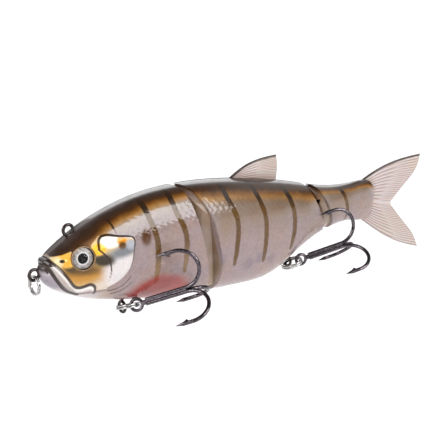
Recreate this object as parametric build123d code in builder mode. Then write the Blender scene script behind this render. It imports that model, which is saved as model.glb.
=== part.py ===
"""Jointed swimbait: a hollow three-segment fishing lure with two treble hooks.

Millimetres. The lure lies along X with its nose towards -X and its tail towards +X, back up.
The origin is the centre of the line-tie eye in front of the nose.
"""

import os
from math import copysign, cos, pi, radians, sin

from build123d import *

os.makedirs("parts", exist_ok=True)

# ---- body form: station along X, back height, belly height, half width ----
STATIONS = [
    (1.5, 1.9, 0.2, 0.8),
    (2.1, 3.3, -1.7, 2.0),
    (3.4, 4.7, -3.6, 3.4),
    (5.5, 6.2, -5.4, 4.6),
    (9.0, 8.3, -7.3, 5.8),
    (15.0, 11.5, -9.8, 7.2),
    (24.0, 15.1, -12.2, 8.6),
    (35.0, 18.0, -14.2, 9.5),
    (48.0, 19.4, -15.7, 10.0),
    (61.0, 19.2, -16.7, 10.0),
    (74.0, 17.9, -17.3, 9.6),
    (86.0, 16.0, -16.6, 8.6),
    (92.5, 14.7, -14.2, 7.8),
    (99.0, 13.2, -10.8, 6.9),
    (107.5, 11.0, -7.1, 5.7),
    (117.0, 9.3, -4.9, 4.5),
    (127.0, 8.9, -4.8, 3.3),
    (132.5, 9.0, -5.3, 2.6),
    (135.7, 8.2, -3.6, 2.1),
    (137.2, 6.4, -0.8, 1.3),
    (137.6, 5.0, 1.9, 0.6),
]
SECTION_POWER = 2.3
SECTION_POINTS = 16
WALL = 1.6
NOSE_RECESS = 0.8
BIG = 60.0

# ---- joints: hinge place, slanted rim of the segment in front, nose of the segment behind ----
SWING_GAP = 0.5
HINGE_FRONT_X = 59.0
RIM_FRONT_X = 54.5
RIM_FRONT_SLOPE = -0.25
NECK_FRONT_TOP = (18.5, 9.8)
NECK_FRONT_BOTTOM = (-14.2, 5.5)
HINGE_REAR_X = 112.5
RIM_REAR_X = 108.4
RIM_REAR_SLOPE = -0.5
NECK_REAR_TOP = (12.0, 8.5)
NECK_REAR_BOTTOM = (-4.2, 4.2)
SEAM_LIP = 0.6
FLARE_FRONT = 0.53
FLARE_REAR = 0.35
SHOULDER_REAR = 3.4

# ---- wire parts ----
TIE_HOLE_RING = 1.6
TIE_WIRE = 0.5
NOSE_TIE_ROOT_X = 11.0
HANGER_HOLE_RING = 1.65
HANGER_SHANK = 9.5
HINGE_EYE_WIRE = 0.5
HINGE_EYE_RING = 1.5
HINGE_PIN_RADIUS = 0.8
REAR_EYE_WIRE = 0.42
REAR_EYE_RING = 1.25
REAR_PIN_RADIUS = 0.65
FRONT_EYE_ROOT_X = 45.6
REAR_EYE_ROOT_X = 99.8
SLOT_CLEAR = 0.4
FRONT_SLOT_REACH = 14.0
REAR_SLOT_REACH = 12.0
SLOT_SPREAD = radians(30)
FRONT_EYE_HEIGHTS = {"upper": 7.0, "lower": -5.0}
REAR_EYE_HEIGHTS = {"upper": 5.6, "lower": -0.4}
FRONT_PIN_SPAN = (-10.0, 12.0)
REAR_PIN_SPAN = (-3.2, 8.6)
TOP_TIE_X = 11.7
TOP_TIE_Z = 11.3
TOP_TIE_ROOT_Z = 2.0

# ---- split rings and trebles ----
RING_RADIUS = 3.35
RING_WIRE = 0.40
RING_COIL_OFFSET = 0.35
NOSE_RING_RADIUS = 2.65
NOSE_RING_WIRE = 0.33
NOSE_RING_OFFSET = 0.28
NOSE_RING_HANG = 0.45
HOOK_WIRE = 0.62
HOOK_EYE_RING = 1.75
HOOK_EYE_WIRE = 0.52
SHANK_END = 15.6
SHANK_CORE = 0.78
BEND_RADIUS = 5.95
POINT_BACK = 5.2
WIRE_OFFSET = 0.72
TIP_LENGTH = 2.3
TIP_TAPER = 13.5
FRONT_HANGER = (29.8, 0.0, -16.0)
FRONT_HOOK_EYE = (30.9, -6.2, -14.0)
FRONT_HOOK_AIM = (-37.0, 17.0, 90.0)
REAR_HANGER = (97.3, 0.0, -14.2)
REAR_HOOK_EYE = (99.0, -5.0, -12.9)
REAR_HOOK_AIM = (-17.5, 12.5, 86.0)

# ---- eyes ----
EYE_CENTRE = (12.7, 6.38, 3.9)
EYE_FACING = (-0.21, 0.97, 0.10)
EYE_RADIUS = 3.4
EYE_BOSS_RADIUS = 4.0
EYE_BOSS_DEPTH = 4.0
EYE_SOCKET_DEPTH = 1.9
IRIS_THICKNESS = 0.5
LENS_RISE = 1.1

# ---- fins ----
DORSAL_THICKNESS = 1.0
TAIL_FIN_THICKNESS = 1.2
FIN_TONGUE = 1.3

# ---- ballast ----
FRONT_BALLAST = (33.6, 44.0, -9.6, 2.7)
MIDDLE_BALLAST = (74.0, 87.0, -12.2, 2.4)

# ---- hollow of each segment: where it starts and ends along X ----
FRONT_CAVITY = (19.0, 45.0)
MIDDLE_CAVITY = (66.5, 99.0)
TAIL_CAVITY = (119.5, 128.0)

# ---- ribs across the hollows: place along X, thickness, top ----
FRONT_RIBS = [(29.8, 4.4, -6.0), (35.2, 1.2, -6.4), (42.4, 1.2, -6.4)]
MIDDLE_RIBS = [(76.0, 1.2, -9.0), (85.0, 1.2, -9.0), (97.3, 4.4, -3.5)]


def section_points(top, bottom, half_width, inset):
    """Points of one cross-section: a rounded oval with slightly flattened flanks."""
    height = (top - bottom) / 2 - inset
    width = half_width - inset
    middle = (top + bottom) / 2
    points = []
    for i in range(SECTION_POINTS):
        angle = 2 * pi * i / SECTION_POINTS
        y = copysign(abs(cos(angle)) ** (2 / SECTION_POWER), cos(angle)) * width
        z = copysign(abs(sin(angle)) ** (2 / SECTION_POWER), sin(angle)) * height
        points.append((y, middle + z))
    return points


def body_form(inset, first=0, last=len(STATIONS)):
    """The whole fish form, lofted through its stations and shrunk by an inset."""
    with BuildPart() as form:
        for x, top, bottom, half_width in STATIONS[first:last]:
            with BuildSketch(Plane(origin=(x, 0, 0), x_dir=(0, 1, 0), z_dir=(1, 0, 0))):
                with BuildLine():
                    Spline(*section_points(top, bottom, half_width, inset), periodic=True)
                make_face()
        loft()
    return form.part


def back_height(x):
    """Height of the back at a station between the listed ones."""
    for before, after in zip(STATIONS, STATIONS[1:]):
        if before[0] <= x <= after[0]:
            share = (x - before[0]) / (after[0] - before[0])
            return before[1] + share * (after[1] - before[1])
    return STATIONS[-1][1]


def ahead_of(x_at_axis, slope, flare):
    """Everything ahead of a slanted seam whose sides sweep back from the middle plane."""
    with BuildPart() as region:
        with BuildSketch(Plane.XY.offset(-BIG)):
            with BuildLine():
                Polyline(
                    (x_at_axis - slope * BIG, 0),
                    (x_at_axis - slope * BIG + flare * BIG, BIG),
                    (-3 * BIG, BIG),
                    (-3 * BIG, -BIG),
                    (x_at_axis - slope * BIG + flare * BIG, -BIG),
                    close=True,
                )
            make_face()
        extrude(amount=2 * BIG * (1 + slope**2) ** 0.5, dir=(slope, 0, 1))
    return region.part


def neck(hinge_x, top, bottom, grow=0.0):
    """Cone turned about a hinge: the rounded nose that one segment shows the one ahead."""
    top_z, top_radius = top
    bottom_z, bottom_radius = bottom
    with BuildPart() as turned:
        with BuildSketch(Plane.XZ):
            with BuildLine():
                Polyline(
                    (hinge_x, bottom_z - grow),
                    (hinge_x + bottom_radius + grow, bottom_z - grow),
                    (hinge_x + top_radius + grow, top_z + grow),
                    (hinge_x + top_radius + grow, top_z + BIG / 4),
                    (hinge_x, top_z + BIG / 4),
                    close=True,
                )
            make_face()
        revolve(axis=Axis((hinge_x, 0, 0), (0, 0, 1)))
    return turned.part


def hinge_slot(hinge_x, height, eye_ring, wire, reach):
    """Fan-shaped slot that lets a wire eye swing round its pin."""
    half = wire + SLOT_CLEAR
    mouth = eye_ring + wire + SLOT_CLEAR
    with BuildPart() as slot:
        with BuildSketch(Plane.XY.offset(height - half)):
            with Locations((hinge_x, 0)):
                Circle(mouth)
            with BuildLine():
                Polyline(
                    (hinge_x, mouth),
                    (hinge_x - reach, mouth + reach * sin(SLOT_SPREAD)),
                    (hinge_x - reach, -mouth - reach * sin(SLOT_SPREAD)),
                    (hinge_x, -mouth),
                    close=True,
                )
            make_face()
        extrude(amount=2 * half)
    return slot.part


def slab(x_from, x_to, z_from, z_to):
    """Block between two stations, as wide as the lure and more."""
    with BuildPart() as block:
        with Locations(((x_from + x_to) / 2, 0, (z_from + z_to) / 2)):
            Box(x_to - x_from, BIG, z_to - z_from)
    return block.part


def wire_eye(centre, shank_end, hole_axis, ring, wire):
    """A closed wire loop on a straight shank, as a screw eye or hanger has."""
    centre = Vector(*centre)
    shank = Vector(*shank_end) - centre
    start = centre + shank.normalized() * ring
    with BuildPart() as eye:
        with Locations(Plane(origin=centre, z_dir=hole_axis)):
            Torus(ring, wire)
        with BuildSketch(Plane(origin=start, z_dir=shank.normalized())):
            Circle(wire)
        extrude(amount=shank.length - ring)
    return eye.part


def split_ring(centre, normal, radius, wire, offset):
    """Two touching coils of spring wire."""
    with BuildPart() as ring:
        for side in (-1, 1):
            place = Vector(*centre) + Vector(*normal).normalized() * side * offset
            with Locations(Plane(origin=place, z_dir=normal)):
                Torus(radius, wire)
    return ring.part


def ring_centre(hanger, hook_eye, radius, lean):
    """Centre of the ring that passes through both eyes, on the side that lean points to."""
    start = Vector(*hanger)
    chord = Vector(*hook_eye) - start
    along = chord.normalized()
    side = (Vector(*lean) - along * Vector(*lean).dot(along)).normalized()
    rise = (radius**2 - (chord.length / 2) ** 2) ** 0.5
    return start + chord * 0.5 + side * rise, along.cross(side)


def treble(eye, aim, hole_axis):
    """Three J-shaped hooks brazed back to back, with one eye."""
    yaw, pitch, roll = (radians(value) for value in aim)
    shank = Vector(cos(pitch) * cos(yaw), cos(pitch) * sin(yaw), sin(pitch))
    across = Vector(0, 0, 1).cross(shank).normalized()
    upward = shank.cross(across)
    eye = Vector(*eye)
    outer = WIRE_OFFSET + 2 * BEND_RADIUS
    with BuildPart() as hook:
        with Locations(Plane(origin=eye, z_dir=hole_axis)):
            Torus(HOOK_EYE_RING, HOOK_EYE_WIRE)
        with BuildSketch(Plane(origin=eye + shank * HOOK_EYE_RING, z_dir=shank)):
            Circle(SHANK_CORE)
        extrude(amount=SHANK_END - HOOK_EYE_RING)
        for turn in range(3):
            angle = roll + turn * 2 * pi / 3
            outward = across * cos(angle) + upward * sin(angle)
            plane = Plane(origin=eye, x_dir=shank, z_dir=shank.cross(outward))
            with BuildLine(plane) as bend:
                Line((HOOK_EYE_RING + 1.2, WIRE_OFFSET), (SHANK_END, WIRE_OFFSET))
                ThreePointArc(
                    (SHANK_END, WIRE_OFFSET),
                    (SHANK_END + BEND_RADIUS, WIRE_OFFSET + BEND_RADIUS),
                    (SHANK_END, outer),
                )
                Line((SHANK_END, outer), (SHANK_END - POINT_BACK + TIP_LENGTH, outer))
            with BuildSketch(Plane(origin=bend.line @ 0, z_dir=shank)):
                Circle(HOOK_WIRE)
            sweep(path=bend.line)
            with BuildSketch(Plane(origin=bend.line @ 1, z_dir=shank * -1)):
                Circle(HOOK_WIRE)
            extrude(amount=TIP_LENGTH, taper=TIP_TAPER)
            barb_root = SHANK_END - POINT_BACK + TIP_LENGTH
            with BuildSketch(plane):
                with BuildLine():
                    Polyline(
                        (barb_root - 0.4, outer - 0.3),
                        (barb_root + 1.3, outer - 1.35),
                        (barb_root + 1.9, outer - 0.3),
                        close=True,
                    )
                make_face()
            extrude(amount=0.22, both=True)
    return hook.part


def eye_plane(side, depth):
    """Plane of one eye, a given depth below the socket's rim, facing outwards."""
    facing = Vector(EYE_FACING[0], side * EYE_FACING[1], EYE_FACING[2]).normalized()
    centre = Vector(EYE_CENTRE[0], side * EYE_CENTRE[1], EYE_CENTRE[2])
    return Plane(origin=centre - facing * depth, z_dir=facing)


def disc(side, radius, depth, height):
    """Round plug in one eye's plane."""
    with BuildPart() as plug:
        with BuildSketch(eye_plane(side, depth)):
            Circle(radius)
        extrude(amount=height)
    return plug.part


def write(part, name):
    """Label one finished piece and write it as its own STEP file."""
    part.label = name
    export_step(part, f"parts/{name}.step")


# ---- eyes: a printed iris disc under a clear domed lens, each side ----
for side, hand in ((-1, "left"), (1, "right")):
    with BuildPart() as iris_foil:
        with BuildSketch(eye_plane(side, EYE_SOCKET_DEPTH)):
            Circle(EYE_RADIUS)
        extrude(amount=IRIS_THICKNESS)
    write(iris_foil.part, f"iris_foil_{hand}")

    lens_depth = EYE_SOCKET_DEPTH - IRIS_THICKNESS
    dome_height = lens_depth + LENS_RISE
    dome_radius = (EYE_RADIUS**2 + dome_height**2) / (2 * dome_height)
    with BuildPart() as eye_lens:
        with BuildSketch(eye_plane(side, lens_depth)):
            Circle(EYE_RADIUS)
        extrude(amount=dome_height)
        with Locations(eye_plane(side, lens_depth + dome_radius - dome_height)):
            Sphere(dome_radius, mode=Mode.INTERSECT)
    write(eye_lens.part, f"eye_lens_{hand}")

# ---- fins: thin soft plates with a tongue held in the shells ----
with BuildPart() as dorsal_fin:
    with BuildSketch(Plane.XZ):
        with BuildLine():
            Spline((70.9, 18.2), (78.4, 21.7), (86.9, 23.2), (91.7, 23.4))
            Spline((91.7, 23.4), (92.2, 20.0), (91.6, back_height(91.6) - 0.2))
            Polyline(
                (91.6, back_height(91.6) - 0.2),
                (90.2, back_height(90.2) - FIN_TONGUE),
                (80.0, back_height(80.0) - FIN_TONGUE),
                (73.0, back_height(73.0) - FIN_TONGUE),
                (70.9, 18.2),
            )
        make_face()
    extrude(amount=DORSAL_THICKNESS / 2, both=True)
write(dorsal_fin.part, "dorsal_fin")

with BuildPart() as tail_fin:
    with BuildSketch(Plane.XZ):
        with BuildLine():
            Spline((131.5, 8.9), (141.4, 12.1), (151.7, 14.1), (161.9, 14.7))
            ThreePointArc((161.9, 14.7), (162.9, 14.3), (162.6, 13.0))
            Spline((162.6, 13.0), (155.0, 4.8), (149.3, 0.2))
            ThreePointArc((149.3, 0.2), (147.2, -1.9), (148.6, -4.0))
            Spline((148.6, -4.0), (155.0, -10.2), (160.6, -16.4), (163.4, -20.5))
            ThreePointArc((163.4, -20.5), (163.3, -21.2), (162.5, -21.2))
            Spline((162.5, -21.2), (153.5, -17.9), (142.6, -12.4), (131.5, -5.0))
            Polyline((131.5, -5.0), (129.5, -3.2), (129.5, 6.9), (131.5, 8.9))
        make_face()
    extrude(amount=TAIL_FIN_THICKNESS / 2, both=True)
write(tail_fin.part, "tail_fin")

# ---- line ties, hangers and hinge eyes: closed wire loops moulded into the shells ----
nose_line_tie = wire_eye(
    (0, 0, 0), (NOSE_TIE_ROOT_X, 0, 0), (0, 1, 0), TIE_HOLE_RING, TIE_WIRE
)
write(nose_line_tie, "nose_line_tie")
top_line_tie = wire_eye(
    (TOP_TIE_X, 0, TOP_TIE_Z),
    (TOP_TIE_X, 0, TOP_TIE_ROOT_Z),
    (0, 1, 0),
    TIE_HOLE_RING,
    TIE_WIRE,
)
write(top_line_tie, "top_line_tie")
hangers = {}
for name, place in (("front_hanger", FRONT_HANGER), ("rear_hanger", REAR_HANGER)):
    top_end = (place[0], place[1], place[2] + HANGER_SHANK)
    hangers[name] = wire_eye(place, top_end, (1, 0, 0), HANGER_HOLE_RING, TIE_WIRE)
    write(hangers[name], name)

hinge_eyes = {"front": [], "rear": []}
for level, height in FRONT_EYE_HEIGHTS.items():
    eye = wire_eye(
        (HINGE_FRONT_X, 0, height),
        (FRONT_EYE_ROOT_X, 0, height),
        (0, 0, 1),
        HINGE_EYE_RING,
        HINGE_EYE_WIRE,
    )
    hinge_eyes["front"].append(eye)
    write(eye, f"front_joint_eye_{level}")
for level, height in REAR_EYE_HEIGHTS.items():
    eye = wire_eye(
        (HINGE_REAR_X, 0, height),
        (REAR_EYE_ROOT_X, 0, height),
        (0, 0, 1),
        REAR_EYE_RING,
        REAR_EYE_WIRE,
    )
    hinge_eyes["rear"].append(eye)
    write(eye, f"rear_joint_eye_{level}")

# ---- hinge pins ----
with BuildPart() as front_joint_pin:
    with BuildSketch(Plane.XY.offset(FRONT_PIN_SPAN[0])):
        with Locations((HINGE_FRONT_X, 0)):
            Circle(HINGE_PIN_RADIUS)
    extrude(amount=FRONT_PIN_SPAN[1] - FRONT_PIN_SPAN[0])
write(front_joint_pin.part, "front_joint_pin")

with BuildPart() as rear_joint_pin:
    with BuildSketch(Plane.XY.offset(REAR_PIN_SPAN[0])):
        with Locations((HINGE_REAR_X, 0)):
            Circle(REAR_PIN_RADIUS)
    extrude(amount=REAR_PIN_SPAN[1] - REAR_PIN_SPAN[0])
write(rear_joint_pin.part, "rear_joint_pin")

# ---- ballast: a lead slug held by two ribs in each of the first two segments ----
ballast = {}
for name, (start, end, height, radius) in (
    ("front_ballast", FRONT_BALLAST),
    ("middle_ballast", MIDDLE_BALLAST),
):
    with BuildPart() as slug:
        with BuildSketch(Plane.YZ.offset(start)):
            with Locations((0, height)):
                Circle(radius)
        extrude(amount=end - start)
        chamfer(slug.edges(), length=0.5)
    ballast[name] = slug.part
    write(slug.part, name)

# ---- split rings ----
nose_ring_centre = (0, 0, -NOSE_RING_HANG - NOSE_RING_RADIUS)
nose_split_ring = split_ring(
    nose_ring_centre, (1, 0, 0), NOSE_RING_RADIUS, NOSE_RING_WIRE, NOSE_RING_OFFSET
)
write(nose_split_ring, "nose_split_ring")
front_centre, front_normal = ring_centre(FRONT_HANGER, FRONT_HOOK_EYE, RING_RADIUS, (-1, 0, 0.06))
front_ring = split_ring(front_centre, front_normal, RING_RADIUS, RING_WIRE, RING_COIL_OFFSET)
write(front_ring, "front_split_ring")
rear_centre, rear_normal = ring_centre(REAR_HANGER, REAR_HOOK_EYE, RING_RADIUS, (-1, 0, -0.35))
rear_ring = split_ring(rear_centre, rear_normal, RING_RADIUS, RING_WIRE, RING_COIL_OFFSET)
write(rear_ring, "rear_split_ring")

# ---- treble hooks ----
for name, eye, aim, centre, normal in (
    ("front_treble_hook", FRONT_HOOK_EYE, FRONT_HOOK_AIM, front_centre, front_normal),
    ("rear_treble_hook", REAR_HOOK_EYE, REAR_HOOK_AIM, rear_centre, rear_normal),
):
    yaw, pitch = radians(aim[0]), radians(aim[1])
    shank = Vector(cos(pitch) * cos(yaw), cos(pitch) * sin(yaw), sin(pitch))
    tangent = normal.cross((Vector(*eye) - centre).normalized())
    hole_axis = (tangent - shank * tangent.dot(shank)).normalized()
    write(treble(eye, aim, hole_axis), name)

# ---- segments: three hollow forms, each split down the middle into two shells ----
skin = body_form(0)
recessed_skin = body_form(NOSE_RECESS, 6, 18)
hollow = body_form(WALL, 4, 18)

front_rim = ahead_of(RIM_FRONT_X, RIM_FRONT_SLOPE, 0)
front_seam = ahead_of(RIM_FRONT_X + SEAM_LIP, RIM_FRONT_SLOPE, FLARE_FRONT)
rear_rim = ahead_of(RIM_REAR_X, RIM_REAR_SLOPE, 0)
rear_seam = ahead_of(RIM_REAR_X + SHOULDER_REAR, RIM_REAR_SLOPE, FLARE_REAR)
front_neck = neck(HINGE_FRONT_X, NECK_FRONT_TOP, NECK_FRONT_BOTTOM) & recessed_skin
rear_neck = neck(HINGE_REAR_X, NECK_REAR_TOP, NECK_REAR_BOTTOM) & recessed_skin
front_hollow = neck(HINGE_FRONT_X, NECK_FRONT_TOP, NECK_FRONT_BOTTOM, SWING_GAP)
rear_hollow = neck(HINGE_REAR_X, NECK_REAR_TOP, NECK_REAR_BOTTOM, SWING_GAP)


def ribs_of(specs):
    """Ribs across a hollow, each from the floor up to its own height."""
    blocks = [slab(x - width / 2, x + width / 2, -BIG, top) for x, width, top in specs]
    joined = blocks[0]
    for block in blocks[1:]:
        joined = joined + block
    return joined



front_void = (hollow & slab(*FRONT_CAVITY, -BIG, BIG)) - ribs_of(FRONT_RIBS)
middle_void = (hollow & slab(*MIDDLE_CAVITY, -BIG, BIG)) - ribs_of(MIDDLE_RIBS)
tail_void = hollow & slab(*TAIL_CAVITY, -BIG, BIG)

with BuildPart() as front_segment:
    add(skin & front_rim)
    for side in (-1, 1):
        add(disc(side, EYE_BOSS_RADIUS, EYE_BOSS_DEPTH, EYE_BOSS_DEPTH))
    add(front_hollow, mode=Mode.SUBTRACT)
    add(front_void, mode=Mode.SUBTRACT)
    for side in (-1, 1):
        socket = disc(side, EYE_RADIUS, EYE_SOCKET_DEPTH, EYE_SOCKET_DEPTH + EYE_BOSS_DEPTH)
        add(socket, mode=Mode.SUBTRACT)
    for piece in (nose_line_tie, top_line_tie, hangers["front_hanger"], *hinge_eyes["front"]):
        add(piece, mode=Mode.SUBTRACT)
    add(ballast["front_ballast"], mode=Mode.SUBTRACT)

with BuildPart() as middle_segment:
    add((skin - front_seam) & rear_rim)
    add(front_neck)
    add(rear_hollow, mode=Mode.SUBTRACT)
    add(middle_void, mode=Mode.SUBTRACT)
    for height in FRONT_EYE_HEIGHTS.values():
        add(
            hinge_slot(HINGE_FRONT_X, height, HINGE_EYE_RING, HINGE_EYE_WIRE, FRONT_SLOT_REACH),
            mode=Mode.SUBTRACT,
        )
    for piece in (hangers["rear_hanger"], *hinge_eyes["rear"], front_joint_pin.part):
        add(piece, mode=Mode.SUBTRACT)
    add(ballast["middle_ballast"], mode=Mode.SUBTRACT)
    add(dorsal_fin.part, mode=Mode.SUBTRACT)

with BuildPart() as tail_segment:
    add(skin - rear_seam)
    add(rear_neck)
    add(tail_void, mode=Mode.SUBTRACT)
    for height in REAR_EYE_HEIGHTS.values():
        add(
            hinge_slot(HINGE_REAR_X, height, REAR_EYE_RING, REAR_EYE_WIRE, REAR_SLOT_REACH),
            mode=Mode.SUBTRACT,
        )
    add(rear_joint_pin.part, mode=Mode.SUBTRACT)
    add(tail_fin.part, mode=Mode.SUBTRACT)

for name, segment in (
    ("front_shell", front_segment),
    ("middle_shell", middle_segment),
    ("tail_shell", tail_segment),
):
    for side, hand in ((-1, "left"), (1, "right")):
        with BuildPart() as shell:
            add(segment.part)
            with Locations((BIG, side * BIG / 2, 0)):
                Box(4 * BIG, BIG, 2 * BIG, mode=Mode.INTERSECT)
        write(shell.part, f"{name}_{hand}")
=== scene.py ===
"""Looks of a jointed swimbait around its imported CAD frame.

Shapes are worked out in millimetres and handed to Blender in metres. The lure lies along X with its
nose towards -X and its back up, and its left side, towards -Y, faces the camera.
"""

import math

import bmesh
import bpy
import numpy as np
from mathutils import Matrix, Vector


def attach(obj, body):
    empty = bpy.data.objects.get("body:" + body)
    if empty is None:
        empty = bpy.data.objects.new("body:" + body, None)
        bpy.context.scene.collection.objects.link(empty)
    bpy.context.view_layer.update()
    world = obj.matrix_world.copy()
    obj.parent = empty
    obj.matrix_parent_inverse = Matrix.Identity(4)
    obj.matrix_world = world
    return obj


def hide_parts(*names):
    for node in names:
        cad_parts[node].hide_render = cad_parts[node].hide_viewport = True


MM = 0.001
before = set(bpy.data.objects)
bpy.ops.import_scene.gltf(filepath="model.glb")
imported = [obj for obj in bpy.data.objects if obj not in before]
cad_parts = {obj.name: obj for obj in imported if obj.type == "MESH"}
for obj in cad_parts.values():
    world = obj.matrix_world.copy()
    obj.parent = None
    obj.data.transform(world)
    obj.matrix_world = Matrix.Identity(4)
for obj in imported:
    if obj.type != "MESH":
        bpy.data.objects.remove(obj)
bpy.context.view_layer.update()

# ---- body form, in mm: station along X, back height, belly height, half width ----
STATIONS = [
    (1.15, 1.3, 0.8, 0.25), (1.5, 1.9, 0.2, 0.8), (2.1, 3.3, -1.7, 2.0),
    (3.4, 4.7, -3.6, 3.4), (5.5, 6.2, -5.4, 4.6), (9.0, 8.3, -7.3, 5.8),
    (15.0, 11.5, -9.8, 7.2), (24.0, 15.1, -12.2, 8.6), (35.0, 18.0, -14.2, 9.5),
    (48.0, 19.4, -15.7, 10.0), (61.0, 19.2, -16.7, 10.0), (74.0, 17.9, -17.3, 9.6),
    (86.0, 16.0, -16.6, 8.6), (92.5, 14.7, -14.2, 7.8), (99.0, 13.2, -10.8, 6.9),
    (107.5, 11.0, -7.1, 5.7), (117.0, 9.3, -4.9, 4.5), (127.0, 8.9, -4.8, 3.3),
    (132.5, 9.0, -5.3, 2.6), (135.7, 8.2, -3.6, 2.1), (137.2, 6.4, -0.8, 1.3),
    (137.6, 5.0, 1.9, 0.6), (137.75, 3.8, 3.2, 0.15),
]
STATIONS = np.array(STATIONS)
SECTION_POWER = 2.3
NECK_RECESS = 0.8
WALL = 1.6
SWING_GAP = 0.5

# ---- seams: x at the axis, lean with height, sweep back with width ----
FRONT_RIM = (54.5, -0.25, 0.0)
MIDDLE_SEAM = (55.1, -0.25, 0.53)
MIDDLE_RIM = (108.4, -0.5, 0.0)
TAIL_SEAM = (111.8, -0.5, 0.35)

# ---- hinges: x, cone height and radius at the top, the same at the bottom, eye slots ----
FRONT_HINGE = {"x": 59.0, "top": (18.5, 9.8), "bottom": (-14.2, 5.5), "slots": (7.0, -5.0)}
FRONT_HINGE |= {"slot_half": 0.9, "mouth": 2.4, "reach": 14.0}
REAR_HINGE = {"x": 112.5, "top": (12.0, 8.5), "bottom": (-4.2, 4.2), "slots": (5.6, -0.4)}
REAR_HINGE |= {"slot_half": 0.82, "mouth": 2.07, "reach": 12.0}
SLOT_SPREAD = 0.5
CONE_SIDES = 120

# ---- eye ----
EYE_CENTRE = np.array((12.7, -6.38, 3.9))
EYE_FACING = np.array((-0.21, -0.97, 0.10))
EYE_FACING = EYE_FACING / np.linalg.norm(EYE_FACING)
EYE_RADIUS = 3.4
EYE_LIP = 0.26
LENS_RISE = 1.1
EYE_SOCKET_DEPTH = 1.9

# ---- moulded lines of the head, as x and z on the flank ----
MAXILLA = [(3.2, 4.6), (5.1, 2.4), (8.4, -2.1), (10.9, -4.7), (12.8, -4.6), (14.6, -4.2)]
MAXILLA += [(15.9, -5.0), (16.3, -7.4)]
MOUTH = [(2.0, 3.6), (2.7, 2.6), (3.9, 0.2), (5.5, -2.5), (7.3, -4.7), (9.2, -6.1), (12.0, -7.4)]
GILL_BACK = [(17.5, 5.8), (17.6, 7.6), (18.2, 9.0), (19.4, 9.6), (24.5, 8.9), (28.8, 7.7)]
GILL_BACK += [(28.6, 4.6), (27.7, 0.4), (25.1, -3.3), (22.5, -5.0), (19.4, -6.3)]
PREOPERCLE = [(19.4, -6.3), (20.6, -3.4), (21.0, -0.8), (20.6, 1.6), (19.3, 4.0), (17.5, 5.8)]
GILL_RAYS = [
    [(20.6, -7.5), (23.4, -7.1), (25.9, -5.7), (27.6, -3.8)],
    [(21.8, -8.7), (25.2, -8.0), (28.0, -6.0)],
]
LIP_FOLDS = [[(1.7, 4.1), (2.9, 4.5), (4.0, 4.6)], [(1.5, 2.7), (2.1, 2.2), (2.9, 0.6)]]
NOSTRIL = (6.7, 3.8)
NOSTRIL_RADII = (0.8, 0.5)
LATERAL_LINE = [(29.0, 3.4), (54.0, 4.1), (80.0, 3.6), (110.0, 2.8), (136.0, 2.6)]

# ---- upper and lower edge of the printed face, and how far back it goes ----
FACE_TOP = [(2.0, 3.5), (4.5, 5.0), (7.0, 5.4), (9.6, 6.2), (10.4, 5.4), (15.0, 6.2)]
FACE_TOP += [(15.7, 7.6), (18.2, 9.6), (29.0, 7.8)]
FACE_BOTTOM = -6.6
FACE_BACK = 29.4

# ---- stripes: points down the middle of each, half width, strength ----
STRIPES = [
    ([(22.6, 13.2), (23.4, 10.4), (23.8, 8.6)], 0.8, 0.25),
    ([(34.4, 16.6), (35.4, 11.2), (36.5, 7.0), (36.9, 0.0), (36.5, -7.5)], 1.0, 1.0),
    ([(44.2, 18.0), (44.9, 12.2), (46.7, 7.8), (47.2, 0.0), (46.7, -5.8)], 1.0, 1.0),
    ([(64.2, 17.6), (65.2, 13.6), (67.4, 8.0), (67.4, 0.0), (66.6, -7.4)], 1.0, 1.0),
    ([(76.6, 16.6), (77.8, 12.8), (79.6, 7.0), (79.9, 0.0), (79.3, -8.8)], 1.0, 1.0),
    ([(90.3, 14.2), (91.6, 11.2), (93.3, 6.0), (93.7, 0.0), (92.4, -7.2)], 1.05, 1.0),
    ([(118.0, 9.2), (119.4, 7.4), (121.2, 3.0), (121.8, 0.0), (121.4, -3.6)], 0.85, 1.0),
]

# ---- vague shapes seen through the clear belly of the middle segment: centre, radii ----
INNER_SHAPES = [((61.2, -5.6), (1.6, 2.2)), ((72.7, -8.6), (2.2, 1.8)), ((77.6, -7.4), (1.7, 1.7))]
INNER_SHAPES += [((83.0, -8.8), (2.0, 1.5)), ((95.2, -9.4), (1.8, 1.8))]

# ---- soft patches: centre, radii, turn, softness of the edge ----
RED_BELLY = ((38.2, -12.2), (11.2, 6.6), 0, 0.22)
SHOULDER_SPOT = ((33.0, 7.4), (1.7, 2.5), 0, 0.4)

# ---- amber haze: where it comes in and goes out along X, and where it comes in with height ----
HAZE_BANDS = [((57, 63), (100, 106), (-2.0, 8.0)), ((108, 116), (131, 136), (-3.0, 6.0))]

# ---- scales: size, relief, where they begin and end along X, and how far below the crest ----
SCALE_LENGTH = 2.2
SCALE_HEIGHT = 1.9
SCALE_RELIEF = 0.07
SCALES_BEGIN = (29.5, 32.5)
SCALES_END = (134.0, 136.0)
SCALES_BELOW_CREST = (1.2, 3.0)


def srgb(red, green, blue):
    """Linear colour from the usual 0 to 255 values."""
    parts = []
    for value in (red, green, blue):
        value = value / 255
        parts.append(value / 12.92 if value <= 0.04045 else ((value + 0.055) / 1.055) ** 2.4)
    return (*parts, 1.0)


# ======== curves and distances ========


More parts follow.
